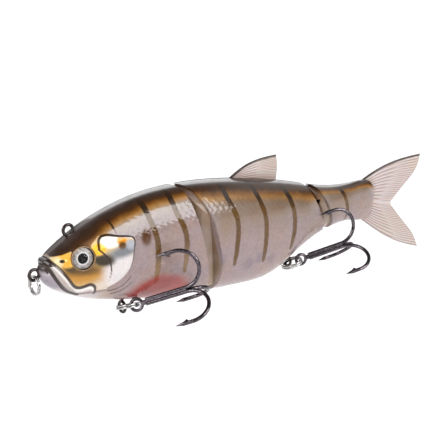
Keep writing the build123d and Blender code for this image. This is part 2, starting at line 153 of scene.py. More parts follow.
def natural_spline(knots, values, at):
    """Values of the smoothest curve through the knots, one row for each place asked for."""
    knots = np.asarray(knots, float)
    values = np.asarray(values, float)
    gaps = np.diff(knots)
    count = len(knots)
    system = np.eye(count)
    right = np.zeros((count, values.shape[1]))
    for i in range(1, count - 1):
        system[i, i - 1 : i + 2] = gaps[i - 1], 2 * (gaps[i - 1] + gaps[i]), gaps[i]
        rise = (values[i + 1] - values[i]) / gaps[i]
        fall = (values[i] - values[i - 1]) / gaps[i - 1]
        right[i] = 6 * (rise - fall)
    bend = np.linalg.solve(system, right)
    k = np.clip(np.searchsorted(knots, at) - 1, 0, count - 2)
    a = ((knots[k + 1] - at) / gaps[k])[:, None]
    b = 1 - a
    sixth = (gaps[k] ** 2 / 6)[:, None]
    return a * values[k] + b * values[k + 1] + ((a**3 - a) * bend[k] + (b**3 - b) * bend[k + 1]) * sixth


def run_along(points):
    """Distance of each point from the start of its line, along the line."""
    return np.concatenate([[0], np.cumsum(np.linalg.norm(np.diff(points, axis=0), axis=1))])


def curve_through(points, count):
    """That many points, evenly spread along a smooth curve through the given ones."""
    points = np.asarray(points, float)
    knots = run_along(points)
    dense = natural_spline(knots, points, np.linspace(0, knots[-1], 20 * count))
    run = run_along(dense)
    even = np.linspace(0, run[-1], count)
    return np.stack([np.interp(even, run, dense[:, k]) for k in range(points.shape[1])], axis=1)


def smooth(low, high, value):
    """0 below low, 1 above high, and an easy slope between."""
    share = np.clip((value - low) / (high - low), 0, 1)
    return share * share * (3 - 2 * share)


def path_distance(x, z, path):
    """Distance from each point to a line of straight runs."""
    best = np.full(x.shape, 1e3)
    for (ax, az), (bx, bz) in zip(path[:-1], path[1:]):
        ux, uz = bx - ax, bz - az
        share = np.clip(((x - ax) * ux + (z - az) * uz) / (ux * ux + uz * uz + 1e-12), 0, 1)
        best = np.minimum(best, np.hypot(x - ax - share * ux, z - az - share * uz))
    return best


def inside_outline(x, z, outline):
    """True for the points inside a closed outline."""
    found = np.zeros(x.shape, bool)
    for (ax, az), (bx, bz) in zip(outline, np.roll(outline, -1, axis=0)):
        crosses = (az > z) != (bz > z)
        with np.errstate(divide="ignore", invalid="ignore"):
            found ^= crosses & (x < (bx - ax) * (z - az) / (bz - az) + ax)
    return found


def signed_distance(x, z, outline):
    """Distance to a closed outline, positive inside it."""
    closed = np.concatenate([outline, outline[:1]])
    distance = path_distance(x, z, closed)
    return np.where(inside_outline(x, z, outline), distance, -distance)


def ellipse(x, z, centre, radii, turn=0.0, soft=0.3):
    """1 inside a turned ellipse, fading to 0 over a share of its radius."""
    c, s = math.cos(math.radians(turn)), math.sin(math.radians(turn))
    dx, dz = x - centre[0], z - centre[1]
    far = np.hypot((dx * c + dz * s) / radii[0], (dz * c - dx * s) / radii[1])
    return 1 - smooth(1 - soft, 1 + soft, far)


# ======== body form ========

SECTION_HALF_WIDTH = 10
SECTION_HALF_HEIGHT = 17
STATION_KNOTS = run_along(STATIONS * (1, 1, 1, 2))
FINE_KNOTS = np.linspace(0, STATION_KNOTS[-1], 4000)
FINE_STATIONS = natural_spline(STATION_KNOTS, STATIONS, FINE_KNOTS)


def form_at(x):
    """Back height, belly height and half width of the painted form at each x."""
    return [np.interp(x, FINE_STATIONS[:, 0], FINE_STATIONS[:, k]) for k in (1, 2, 3)]


def section_spread(columns):
    """Across and up shares of one side of a section, back to belly, evenly spaced on its outline."""
    angle = np.linspace(math.pi / 2, -math.pi / 2, 2000)
    across = np.abs(np.cos(angle)) ** (2 / SECTION_POWER)
    up = np.sign(np.sin(angle)) * np.abs(np.sin(angle)) ** (2 / SECTION_POWER)
    steps = np.hypot(np.diff(across * SECTION_HALF_WIDTH), np.diff(up * SECTION_HALF_HEIGHT))
    run = np.concatenate([[0], np.cumsum(steps)])
    even = np.linspace(0, run[-1], columns)
    across, up = np.interp(even, run, across), np.interp(even, run, up)
    across[0] = across[-1] = 0
    return across, up


def seam_value(x, y, z, seam):
    """How far behind a seam a point is, along X."""
    at_axis, lean, sweep = seam
    return x - at_axis - lean * z - sweep * np.abs(y)


def half_grid(start, end, rows, columns, inset=0.0):
    """Points of the left half of the form between two seams, as rows by columns by xyz."""
    across, up = section_spread(columns)
    stations = FINE_STATIONS[:, None, :]
    height = (stations[..., 1] - stations[..., 2]) / 2 - inset
    y = -(stations[..., 3] - inset) * across
    z = (stations[..., 1] + stations[..., 2]) / 2 + height * up
    x = np.broadcast_to(stations[..., 0], y.shape)
    grid = np.zeros((rows, columns, 3))
    for j in range(columns):
        limits = []
        for seam, place in ((start, 0), (end, -1)):
            if seam is None:
                limits.append(FINE_KNOTS[place])
            else:
                limits.append(np.interp(0, seam_value(x[:, j], y[:, j], z[:, j], seam), FINE_KNOTS))
        knots = np.linspace(*limits, rows)
        for k, values in enumerate((x, y, z)):
            grid[:, j, k] = np.interp(knots, FINE_KNOTS, values[:, j])
    return grid


def grid_normals(grid):
    """Outward direction at each grid point."""
    along = np.gradient(grid, axis=0)
    down = np.gradient(grid, axis=1)
    normal = np.cross(along, down)
    normal /= np.linalg.norm(normal, axis=2, keepdims=True) + 1e-9
    flip = np.sign((normal[..., 1] * grid[..., 1]).sum())
    return normal * flip


# ======== mesh helpers ========


def linked(name, data):
    """An object in the scene that shows the given mesh, light or camera."""
    thing = bpy.data.objects.new(name, data)
    bpy.context.scene.collection.objects.link(thing)
    return thing


def new_object(name, points, faces):
    """A mesh object from points in mm."""
    mesh = bpy.data.meshes.new(name)
    mesh.from_pydata((np.asarray(points) * MM).tolist(), [], faces)
    mesh.update()
    return linked(name, mesh)


def outward(thing):
    """Turns every face of a closed mesh outwards."""
    work = bmesh.new()
    work.from_mesh(thing.data)
    bmesh.ops.recalc_face_normals(work, faces=work.faces)
    work.to_mesh(thing.data)
    work.free()
    return thing


def shade(thing, sharp_degrees=40):
    """Smooth shading with edges kept where the surface turns sharply."""
    for polygon in thing.data.polygons:
        polygon.use_smooth = True
    thing.data.set_sharp_from_angle(angle=math.radians(sharp_degrees))
    return thing


def grid_faces(rows, columns):
    """Vertex numbers of a grid, and its four-sided faces."""
    index = np.arange(rows * columns).reshape(rows, columns)
    corners = (index[:-1, :-1], index[1:, :-1], index[1:, 1:], index[:-1, 1:])
    return index, np.stack(corners, axis=-1).reshape(-1, 4)


def closed_half(name, grid):
    """Closed solid from a half grid: skin, two end faces and the flat face on the middle plane."""
    grid = grid.copy()
    grid[:, 0, 1] = 0
    grid[:, -1, 1] = 0
    index, quads = grid_faces(*grid.shape[:2])
    faces = quads.tolist()
    faces.append(index[0].tolist())
    faces.append(index[-1][::-1].tolist())
    faces.append(index[:, 0][::-1].tolist() + index[:, -1].tolist())
    return outward(new_object(name, grid.reshape(-1, 3), faces))


def turned(name, x, profile, sides=CONE_SIDES):
    """Solid turned about a vertical axis at x; the profile is radius and height, ends on the axis."""
    points = [(x, 0, profile[0][1])]
    for radius, z in profile[1:-1]:
        for k in range(sides):
            angle = 2 * math.pi * k / sides
            points.append((x + radius * math.cos(angle), radius * math.sin(angle), z))
    points.append((x, 0, profile[-1][1]))
    faces = []
    last = len(profile) - 3
    for k in range(sides):
        n = (k + 1) % sides
        faces.append((0, 1 + k, 1 + n))
        for ring in range(last):
            low, high = 1 + ring * sides, 1 + (ring + 1) * sides
            faces.append((low + k, high + k, high + n, low + n))
        faces.append((1 + last * sides + k, len(points) - 1, 1 + last * sides + n))
    return outward(new_object(name, points, faces))


def prism(name, outline, low, high):
    """Upright prism over an outline in the XY plane."""
    count = len(outline)
    points = [(x, y, low) for x, y in outline] + [(x, y, high) for x, y in outline]
    faces = [tuple(range(count)), tuple(range(count, 2 * count))]
    for k in range(count):
        n = (k + 1) % count
        faces.append((k, n, count + n, count + k))
    return outward(new_object(name, points, faces))


def combine(thing, operation, *others):
    """Union, difference or intersection with other solids, which are used up."""
    for other in others:
        modifier = thing.modifiers.new(other.name, "BOOLEAN")
        modifier.operation = operation
        modifier.solver = "MANIFOLD"
        modifier.object = other
    evaluated = thing.evaluated_get(bpy.context.evaluated_depsgraph_get())
    mesh = bpy.data.meshes.new_from_object(evaluated)
    thing.modifiers.clear()
    thing.data = mesh
    for other in others:
        bpy.data.objects.remove(other)
    return thing


def vertices_in_mm(mesh):
    """Places of a mesh's vertices, one row for each."""
    co = np.zeros(len(mesh.vertices) * 3)
    mesh.vertices.foreach_get("co", co)
    return co.reshape(-1, 3) / MM


def off_eye_axis(points):
    """Distance of each point from the left eye's axis."""
    radial = points - EYE_CENTRE
    radial -= (radial @ EYE_FACING)[:, None] * EYE_FACING
    return np.linalg.norm(radial, axis=1)


def mirrored(thing, name):
    """The same mesh on the other side of the middle plane."""
    mesh = thing.data.copy()
    mesh.transform(Matrix.Scale(-1, 4, (0, 1, 0)))
    mesh.flip_normals()
    return linked(name, mesh)


# ======== relief of the skin ========

MAXILLA_CURVE = curve_through(MAXILLA, 40)
MOUTH_CURVE = curve_through(MOUTH, 30)
PREOPERCLE_CURVE = curve_through(PREOPERCLE, 24)
GILL_PLATE = np.concatenate([curve_through(GILL_BACK, 60), PREOPERCLE_CURVE[1:-1]])
JAW_PLATE = np.concatenate([MAXILLA_CURVE, MOUTH_CURVE[::-1]])
LATERAL_CURVE = curve_through(LATERAL_LINE, 30)
RAY_CURVES = [curve_through(ray, 16) for ray in GILL_RAYS]
FOLD_CURVES = [curve_through(fold, 10) for fold in LIP_FOLDS]

# ---- furrows: line, width, depth ----
FURROWS = [(MOUTH_CURVE, 0.35, 0.35), (PREOPERCLE_CURVE, 0.25, 0.14)]
FURROWS += [(curve, 0.3, 0.18) for curve in RAY_CURVES]
FURROWS += [(curve, 0.3, 0.25) for curve in FOLD_CURVES]
LATERAL_FURROW = (0.3, 0.07)
GILL_PLATE_RISE = 0.3
JAW_PLATE_RISE = 0.32
NOSTRIL_RIM = 0.12
NOSTRIL_DEPTH = 0.35


def groove(distance, width, depth):
    """A rounded furrow along a line."""
    return -depth * np.exp(-((distance / width) ** 2))


def scale_phase(x, run):
    """0 at the hidden front of each overlapping scale, 1 at its free rear edge."""
    row = run / SCALE_HEIGHT
    column = x / SCALE_LENGTH + 0.5 * (np.floor(row) % 2)
    across = 2 * (row - np.floor(row)) - 1
    return (column + 0.5 * across**2) % 1.0


def scaled_share(x, z, top):
    """Where the skin carries scales: behind the gill plate and below the crest."""
    behind = smooth(*SCALES_BEGIN, x + 0.35 * np.abs(z))
    return behind * smooth(*SCALES_BELOW_CREST, top - z) * (1 - smooth(*SCALES_END, x))


def skin_relief(grid):
    """Outward moves of the skin points, in mm."""
    x, z = grid[..., 0], grid[..., 2]
    top = form_at(x)[0]
    scaled = scaled_share(x, z, top)
    steps = np.linalg.norm(np.diff(grid, axis=1), axis=2)
    run = np.pad(np.cumsum(steps, axis=1), ((0, 0), (1, 0)))
    phase = scale_phase(x, run)
    relief = SCALE_RELIEF * scaled * (phase - 1.1) * smooth(0, 0.12, 1 - phase)
    relief += GILL_PLATE_RISE * smooth(-0.25, 0.35, signed_distance(x, z, GILL_PLATE))
    relief += JAW_PLATE_RISE * smooth(-0.2, 0.4, signed_distance(x, z, JAW_PLATE))
    for curve, width, depth in FURROWS:
        relief += groove(path_distance(x, z, curve), width, depth)
    relief += groove(path_distance(x, z, LATERAL_CURVE), *LATERAL_FURROW) * scaled
    nostril = np.hypot((x - NOSTRIL[0]) / NOSTRIL_RADII[0], (z - NOSTRIL[1]) / NOSTRIL_RADII[1])
    relief += NOSTRIL_RIM * np.exp(-((nostril - 1.15) ** 2) / 0.12)
    relief -= NOSTRIL_DEPTH * (1 - smooth(0.4, 1.0, nostril))
    return relief


def painted_skin(name, start, end, rows, columns):
    """Closed half solid with the moulded relief on its outer skin."""
    grid = half_grid(start, end, rows, columns)
    grid = grid + grid_normals(grid) * skin_relief(grid)[..., None]
    return closed_half(name, grid)


# ======== the three segments ========

CONE_HEADROOM = 15.0
SLOT_ARC_STEPS = 12
NECK_REACH = 16.0
NECK_GRID = (90, 90)
HOLLOW_GRID = (60, 48)
BEYOND = 30
SOCKET_SLACK = 0.02

# ---- hollows: from x, to x, ribs as x, width and top ----
FRONT_HOLLOW = (19.0, 45.0, [(29.8, 4.4, -6.0), (35.2, 1.2, -6.4), (42.4, 1.2, -6.4)])
MIDDLE_HOLLOW = (66.5, 99.0, [(76.0, 1.2, -9.0), (85.0, 1.2, -9.0), (97.3, 4.4, -3.5)])
TAIL_HOLLOW = (119.5, 128.0, [])


def cone(name, hinge, grow=0.0):
    """The turned nose about a hinge, or the hollow that clears it."""
    top_z, top_radius = hinge["top"]
    bottom_z, bottom_radius = hinge["bottom"]
    ceiling = top_z + CONE_HEADROOM
    profile = [
        (0, bottom_z - grow),
        (bottom_radius + grow, bottom_z - grow),
        (top_radius + grow, top_z + grow),
        (top_radius + grow, ceiling),
        (0, ceiling),
    ]
    return turned(name, hinge["x"], profile)


def hinge_slots(hinge):
    """Fan-shaped slots that let the wire eyes swing round their pin."""
    x, mouth, reach = hinge["x"], hinge["mouth"], hinge["reach"]
    spread = mouth + reach * SLOT_SPREAD
    outline = [(x - reach, spread), (x - reach, -spread), (x, -mouth)]
    for k in range(1, SLOT_ARC_STEPS):
        angle = -math.pi / 2 + math.pi * k / SLOT_ARC_STEPS
        outline.append((x + mouth * math.cos(angle), mouth * math.sin(angle)))
    outline.append((x, mouth))
    half = hinge["slot_half"]
    return [prism(f"slot_{z}", outline, z - half, z + half) for z in hinge["slots"]]


def neck_half(name, hinge, back_to):
    """Left half of the rounded nose that turns inside the segment ahead."""
    ahead = (hinge["x"] - NECK_REACH, 0.0, 0.0)
    behind = (back_to, 0.0, 0.0)
    recessed = closed_half(name, half_grid(ahead, behind, *NECK_GRID, NECK_RECESS))
    return combine(recessed, "INTERSECT", cone("neck_cone", hinge))


def hollow_half(name, start, end, ribs):
    """Left half of a segment's hollow, with its ribs left standing."""
    hollow = closed_half(name, half_grid((start, 0, 0), (end, 0, 0), *HOLLOW_GRID, WALL))
    blocks = []
    for x, width, top in ribs:
        low, high = x - width / 2, x + width / 2
        outline = [(low, -BEYOND), (high, -BEYOND), (high, BEYOND), (low, BEYOND)]
        blocks.append(prism("rib", outline, -BEYOND, top))
    return combine(hollow, "DIFFERENCE", *blocks) if blocks else hollow


def eye_frame():
    """Matrix of the left eye: Z looks outwards, origin in the middle of the socket's rim, in metres."""
    turn = Vector(EYE_FACING).to_track_quat("Z", "Y").to_matrix().to_4x4()
    return Matrix.Translation(Vector(EYE_CENTRE) * MM) @ turn


def eye_solid(name, profile):
    """Solid turned about the left eye's axis; profile is radius and height above the rim."""
    solid = turned(name, 0.0, profile, 96)
    solid.data.transform(eye_frame())
    return solid


def front_half():
    """Left half of the head and shoulder segment."""
    skin = painted_skin("front_skin_left", None, FRONT_RIM, 190, 170)
    lip = EYE_RADIUS + EYE_LIP
    ring = [(0, -4.0), (lip + 0.25, -4.0), (lip + 0.06, -0.5), (lip, -0.14), (lip - 0.1, 0.0)]
    ring += [(lip - 0.2, 0.03), (lip - 0.3, 0.0), (0, 0.0)]
    skin = combine(skin, "UNION", eye_solid("eye_ring", ring))
    wide, depth = EYE_RADIUS + SOCKET_SLACK, EYE_SOCKET_DEPTH
    socket = eye_solid("eye_socket", [(0, -depth), (wide, -depth), (wide, 5.0), (0, 5.0)])
    hollow = hollow_half("front_hollow", *FRONT_HOLLOW)
    return combine(skin, "DIFFERENCE", socket, cone("cup", FRONT_HINGE, SWING_GAP), hollow)


def middle_half():
    """Left half of the middle segment with its neck."""
    skin = painted_skin("middle_skin_left", MIDDLE_SEAM, MIDDLE_RIM, 180, 140)
    skin = combine(skin, "UNION", neck_half("front_neck", FRONT_HINGE, 72.0))
    hollow = hollow_half("middle_hollow", *MIDDLE_HOLLOW)
    cup = cone("cup", REAR_HINGE, SWING_GAP)
    return combine(skin, "DIFFERENCE", cup, hollow, *hinge_slots(FRONT_HINGE))


def tail_half():
    """Left half of the tail segment with its neck."""
    skin = painted_skin("tail_skin_left", TAIL_SEAM, None, 100, 90)
    skin = combine(skin, "UNION", neck_half("rear_neck", REAR_HINGE, 122.0))
    hollow = hollow_half("tail_hollow", *TAIL_HOLLOW)
    return combine(skin, "DIFFERENCE", hollow, *hinge_slots(REAR_HINGE))


def iris_disc(name):
    """Slightly domed foil disc that lies just under the lens."""
    edge = EYE_RADIUS - 0.05
    profile = [(0, -1.2), (edge, -1.2), (edge, -0.75)]
    profile += [(3.0, -0.62), (1.6, -0.52), (0.8, -0.49), (0, -0.48)]
    disc = eye_solid(name, profile)
    write_attribute(disc.data, "radius", off_eye_axis(vertices_in_mm(disc.data)))
    return disc


def eye_lens(name):
    """Clear dome over the iris."""
    base = -0.42
    edge = EYE_RADIUS - 0.03
    height = LENS_RISE - base
    radius = (edge**2 + height**2) / (2 * height)
    profile = [(0, base)]
    for angle in np.linspace(math.asin(edge / radius), 0, 18):
        profile.append((radius * math.sin(angle), LENS_RISE - radius + radius * math.cos(angle)))
    return eye_solid(name, profile)


# ======== paint values on the skin ========


def layer(colours, colour, cover):
    """One more coat of paint over the ones below."""
    return colours * (1 - cover[:, None]) + np.array(srgb(*colour)[:3]) * cover[:, None]


# ---- painted patches, lowest coat first: colour, then centre, radii, turn and softness ----
HEAD_BASE = (202, 172, 122)
HEAD_PATCHES = [
    ((208, 192, 176), (18.6, -4.6), (3.6, 3.4), 0, 0.5),
    ((178, 126, 42), (12.4, -0.8), (7.4, 3.0), -4, 0.6),
    ((98, 66, 12), (12.4, 0.4), (5.8, 1.5), -4, 0.7),
    ((72, 52, 8), (8.6, 1.4), (1.9, 0.9), -25, 0.5),
    ((206, 198, 198), (24.5, -0.8), (5.6, 6.2), -30, 0.35),
    ((110, 112, 116), (25.0, 4.4), (5.4, 1.7), 8, 0.6),
    ((44, 30, 0), (18.6, 2.6), (3.4, 1.8), -10, 0.4),
    ((228, 226, 210), (21.0, 7.7), (3.0, 1.8), -6, 0.25),
    ((156, 158, 166), (27.4, 6.2), (1.6, 1.5), -20, 0.5),
    ((200, 128, 2), (24.6, 7.8), (1.6, 1.2), 0, 0.3),
    ((84, 52, 2), (24.7, 6.2), (1.2, 1.1), 0, 0.4),
    ((240, 178, 46), (17.5, 6.0), (2.0, 1.7), 10, 0.25),
    ((222, 168, 62), (8.0, 4.0), (2.6, 2.2), 0, 0.25),
    ((226, 208, 164), (5.7, 3.5), (1.1, 1.4), -10, 0.5),
]
NOSTRIL_COLOUR = (24, 20, 16)
JAW_BASE = (178, 168, 174)
JAW_PATCHES = [
    ((196, 186, 184), (11.0, -7.6), (7.0, 1.6), -18, 0.6),
    ((146, 138, 146), (4.0, -2.4), (2.6, 2.4), -45, 0.6),
    ((44, 32, 30), (2.4, 3.0), (2.6, 2.2), 20, 0.35),
]


def patched(x, z, base, patches):
    """The base colour with soft-edged patches painted over it."""
    colours = np.tile(srgb(*base)[:3], (len(x), 1))
    for colour, *patch in patches:
        colours = layer(colours, colour, ellipse(x, z, *patch))
    return colours


def head_paint(x, z):
    """Colours of the metallic face and gill mask."""
    colours = patched(x, z, HEAD_BASE, HEAD_PATCHES)
    upper = np.interp(x, *np.transpose(MAXILLA))
    plate = smooth(0.0, 0.35, upper - z) * smooth(3.2, 3.6, x) * smooth(17.0, 16.2, x)
    colours = layer(colours, (226, 219, 215), plate)
    colours = layer(colours, (172, 161, 154), plate * smooth(1.0, 2.2, upper - z))
    return layer(colours, NOSTRIL_COLOUR, ellipse(x, z, NOSTRIL, (0.75, 0.45), 0, 0.2))


def jaw_paint(x, z):
    """Colours of the snout tip and lower jaw."""
    return patched(x, z, JAW_BASE, JAW_PATCHES)


def write_attribute(mesh, name, values, kind="FLOAT"):
    """One value, or one colour, for each vertex."""
    attribute = mesh.attributes.new(name, kind, "POINT")
    if kind == "FLOAT":
        attribute.data.foreach_set("value", values.astype(np.float32))
    else:
        filled = np.concatenate([values, np.ones((len(values), 1))], axis=1)
        attribute.data.foreach_set("color", filled.astype(np.float32).ravel())


def back_stretch(x):
    """How fast the dark of the back gives way to the flank, at each x."""
    stretch = 0.6 + 0.4 * smooth(14, 24, x)
    stretch -= 0.38 * smooth(50, 60, x) * (1 - smooth(100, 112, x))
    return stretch + 0.5 * smooth(104, 114, x)


def stripe_distance(x, z):
    """Distance outside the nearest stripe; each narrows towards its lower end."""
    nearest = np.full(x.shape, 5.0)
    for points, half_width, strength in STRIPES:
        end = points[-1][1]
        distance = path_distance(x, z, curve_through(points, 24)) - half_width
        distance += 0.35 * smooth(end + 4, end - 0.5, z) + (1 - strength) * 0.5
        nearest = np.minimum(nearest, distance)
    return nearest


def crease_shade_distance(x, z):
    """Distance to the nearest dark line of the face, painted shade along the moulded furrows and the
    edges of the raised plates; a smaller share of it draws a wider line.
    """
    gill = np.abs(signed_distance(x, z, GILL_PLATE))
    line = gill + 0.25 * smooth(3, -6, z)
    line = np.minimum(line, np.where(z > 5.0, gill * 0.85, 9))
    line = np.minimum(line, path_distance(x, z, MAXILLA_CURVE) * 0.5)
    line = np.minimum(line, path_distance(x, z, MOUTH_CURVE) * 0.55)
    for fold in FOLD_CURVES:
        line = np.minimum(line, path_distance(x, z, fold))
    for ray in RAY_CURVES:
        line = np.minimum(line, path_distance(x, z, ray) + 0.08)
    return line


def haze_share(x, z):
    """Amber haze of the middle and tail segments."""
    haze = np.zeros_like(x)
    for begins, ends, heights in HAZE_BANDS:
        haze += smooth(*begins, x) * (1 - smooth(*ends, x)) * smooth(*heights, z)
    return haze


def face_mask(x, z):
    """Where the face is printed, and where the lower jaw and snout tip are."""
    mask = smooth(-0.15, 0.15, np.interp(x, *np.transpose(FACE_TOP)) - z) * (x < FACE_BACK)
    plate = smooth(-0.1, 0.1, signed_distance(x, z, GILL_PLATE)) + (x < 20.9 - 0.12 * np.abs(z))
    mask = mask * np.clip(plate, 0, 1) * smooth(-0.1, 0.1, z - FACE_BOTTOM)
    below_mouth = smooth(-0.1, 0.1, np.interp(x, *MOUTH_CURVE.T) - z)
    jaw = below_mouth * (1 - smooth(15.0, 24.0, x)) + smooth(4.6, 3.6, x) * (z > 2.5)
    return mask, np.clip(jaw, 0, 1)


def paint_skin(thing):
    """Measures each vertex against the pattern, for the materials to use."""
    mesh = thing.data
    x, y, z = vertices_in_mm(mesh).T
    top, bottom, width = form_at(x)
    middle, height = (top + bottom) / 2, (top - bottom) / 2
    share = (np.abs(y) / width) ** SECTION_POWER + (np.abs(z - middle) / height) ** SECTION_POWER
    shapes = np.zeros_like(x)
    for centre, radii in INNER_SHAPES:
        shapes = np.maximum(shapes, ellipse(x, z, centre, radii, 0, 0.5))
    mask, jaw = face_mask(x, z)
    values = {
        "depth_inside": (1 - share ** (1 / SECTION_POWER)) * width,
        "below_back": (top - z) * back_stretch(x),
        "stripe": stripe_distance(x, z),
        "blush": ellipse(x, z, *RED_BELLY),
        "haze": haze_share(x, z),
        "inner_shapes": shapes,
        "spot": ellipse(x, z, *SHOULDER_SPOT),
        # painted shade of the face's creases and plate edges
        "line": crease_shade_distance(x, z),
        "eye_distance": off_eye_axis(np.stack([x, -np.abs(y), z], axis=1)),
        "face_cover": np.clip(np.maximum(mask, jaw), 0, 1),
    }
    for name, value in values.items():
        write_attribute(mesh, name, value)
    colours = head_paint(x, z) * (1 - jaw[:, None]) + jaw_paint(x, z) * jaw[:, None]
    write_attribute(mesh, "face_paint", colours, "FLOAT_COLOR")


# ======== materials ========


FULL_HEIGHT = 36.0

# ---- colour stops: share of the full height below the back, colour ----
FLANK_STOPS = [
    (0.000, (58, 46, 42)), (0.014, (42, 27, 17)), (0.044, (58, 32, 6)), (0.064, (104, 64, 14)),
    (0.088, (142, 104, 56)), (0.118, (132, 118, 108)), (0.200, (124, 110, 108)),
    (0.300, (134, 114, 106)), (0.600, (138, 117, 112)), (0.900, (138, 121, 113)),
]
# raw plastic stops: its own brownish tone, darker towards the back as painted shade of the hollows and
# the gaps between segments
RAW_PLASTIC_AND_SHADE_STOPS = [(0.03, (54, 34, 20)), (0.12, (108, 82, 58)), (0.5, (132, 110, 90)), (0.9, (144, 126, 112))]

# ---- colour stops of the eye's rim: distance from the eye's axis over 6 mm, colour; the last, darkest stop is painted shade at the foot of the raised rim ----
EYE_RIM_AND_SHADE_STOPS = [(0.560, (52, 36, 24)), (0.575, (170, 140, 98))]
EYE_RIM_AND_SHADE_STOPS += [(0.602, (120, 84, 44)), (0.625, (26, 16, 8))]


class Nodes:
    """The node tree of a material or world, with short calls for the nodes that this scene uses.

    Colours are given as three values from 0 to 255.
    """

    def __init__(self, holder, output="ShaderNodeOutputMaterial"):
        self.tree = holder.node_tree
        self.tree.nodes.clear()
        self.output = self.node(output)

    def node(self, kind, **settings):
        made = self.tree.nodes.new(kind)
        for key, value in settings.items():
            setattr(made, key, value)
        return made

    def put(self, socket, value):
        if isinstance(value, bpy.types.NodeSocket):
            self.tree.links.new(value, socket)
        else:
            socket.default_value = srgb(*value) if isinstance(value, tuple) else value

    def fill(self, made, **values):
        for key, value in values.items():
            self.put(made.inputs[key.replace("_", " ")], value)
        return made

    def shader(self, **values):
        made = self.fill(self.node("ShaderNodeBsdfPrincipled"), **values)
        self.fill(self.output, Surface=made.outputs[0])

    def attribute(self, name, colour=False):
        made = self.node("ShaderNodeAttribute", attribute_name=name)
        return made.outputs["Color" if colour else "Fac"]

    def math(self, operation, a, b=0.0, c=0.0):
        made = self.node("ShaderNodeMath", operation=operation)
        for socket, value in zip(made.inputs, (a, b, c)):
            self.put(socket, value)
        return made.outputs[0]

    def times(self, a, b):
        return self.math("MULTIPLY", a, b)

    def slope(self, value, low, high, start=0.0, end=1.0):
        made = self.node("ShaderNodeMapRange", interpolation_type="SMOOTHSTEP")
        self.fill(made, Value=value, From_Min=low, From_Max=high, To_Min=start, To_Max=end)
        return made.outputs[0]

    def mix(self, share, a, b, blend="MIX"):
        made = self.node("ShaderNodeMix", data_type="RGBA", blend_type=blend)
        for socket, value in ((made.inputs[0], share), (made.inputs[6], a), (made.inputs[7], b)):
            self.put(socket, value)
        return made.outputs[2]

    def ramp(self, share, stops):
        made = self.node("ShaderNodeValToRGB")
        elements = made.color_ramp.elements
        while len(elements) < len(stops):
            elements.new(0.5)
        for element, (place, colour) in zip(elements, stops):
            element.position = place
            element.color = srgb(*colour)
        self.put(made.inputs[0], share)
        return made.outputs[0]

    def noise(self, scale, detail=3.0, roughness=0.5):
        place = self.node("ShaderNodeTexCoord").outputs["Object"]
        made = self.node("ShaderNodeTexNoise")
        self.fill(made, Vector=place, Scale=scale, Detail=detail, Roughness=roughness)
        return made.outputs["Fac"]

    def bump(self, height, strength, distance):
        made = self.node("ShaderNodeBump")
        return self.fill(made, Strength=strength, Distance=distance, Height=height).outputs[0]


def new_material(name):
    """An empty material and its node tree."""
    material = bpy.data.materials.new(name)
    material.use_nodes = True
    return material, Nodes(material)


def flank_colour(n, below):
    """Dark back, amber edge and milky flank, with a lilac cloud and a fine mottle."""
    wander = n.math("MULTIPLY_ADD", n.noise(260, 3), 1.2, -0.6)
    level = n.math("DIVIDE", n.math("ADD", below, wander), FULL_HEIGHT)
    body = n.ramp(level, FLANK_STOPS)
    cloud = n.slope(n.noise(90, 2), 0.35, 0.7)
    lilac = n.mix(n.times(cloud, 0.35), body, (128, 118, 132))
    body = n.mix(n.slope(below, 4.5, 8.0), body, lilac)
    return n.mix(1.0, body, n.slope(n.noise(900, 4, 0.6), 0.3, 0.75, 0.92, 1.12), "MULTIPLY")


def hazed(n, body, below):
    """The flank with its amber haze and the vague shapes inside the belly."""
    haze = n.times(n.attribute("haze"), n.slope(n.noise(110, 2), 0.25, 0.7, 0.35, 0.75))
    haze = n.times(haze, n.slope(below, 1.8, 4.2))
    body = n.mix(haze, body, n.mix(n.slope(below, 8.0, 3.0), (122, 98, 70), (84, 60, 36)))
    return n.mix(n.times(n.attribute("inner_shapes"), 0.4), body, (92, 80, 92))


def striped(n, body, below):
    """The flank with its olive stripes, the shoulder spot and the red belly patch."""
    edge = n.math("MULTIPLY_ADD", n.noise(700, 2), 0.5, -0.25)
    stripe = n.slope(n.math("ADD", n.attribute("stripe"), edge), 0.2, -0.25)
    stripe = n.times(stripe, n.slope(below, 24.0, 12.0, 0.75, 1.0))
    olive = n.mix(n.noise(300, 3), (92, 60, 0), (64, 38, 0))
    olive = n.mix(n.slope(below, 6.0, 2.5), olive, (36, 20, 4))
    olive = n.mix(n.slope(below, 15.0, 22.0), olive, (108, 80, 34))
    body = n.mix(stripe, body, olive)
    body = n.mix(n.attribute("spot"), body, (74, 38, 4))
    red = n.mix(n.noise(350, 4), (152, 60, 54), (124, 38, 38))
    return n.mix(n.times(n.attribute("blush"), 0.85), body, red)


def faced(n, body, cover):
    """The flank with the metallic face, the rim of the eye with painted shade at its foot, and the dark
    lines of painted shade in the face's creases.
    """
    flake = n.slope(n.noise(2600, 2), 0.35, 0.7, 0.84, 1.0)
    face = n.mix(1.0, n.attribute("face_paint", colour=True), flake, "MULTIPLY")
    body = n.mix(cover, body, face)
    eye = n.attribute("eye_distance")
    rim = n.times(n.slope(eye, 3.88, 3.78), n.slope(eye, 3.15, 3.25))
    # the rim's own gold and brown paint, with painted shade at its outer foot where the raised rim
    # meets the skin
    body = n.mix(rim, body, n.ramp(n.math("DIVIDE", eye, 6.0), EYE_RIM_AND_SHADE_STOPS))
    # dark lines: painted shade in the furrows and along the edges of the raised plates of the face
    line = n.slope(n.attribute("line"), 0.32, 0.16)
    return n.mix(n.times(line, 0.93), body, (36, 22, 16))


def raw_plastic_and_shade(n, below):
    """Unpainted plastic of the hollows, necks and cups, with painted shade that darkens it towards the
    back.
    """
    raw = n.ramp(n.math("DIVIDE", below, FULL_HEIGHT), RAW_PLASTIC_AND_SHADE_STOPS)
    return n.mix(n.slope(n.noise(120, 2), 0.4, 0.7), raw, n.mix(0.35, raw, (150, 140, 140)))


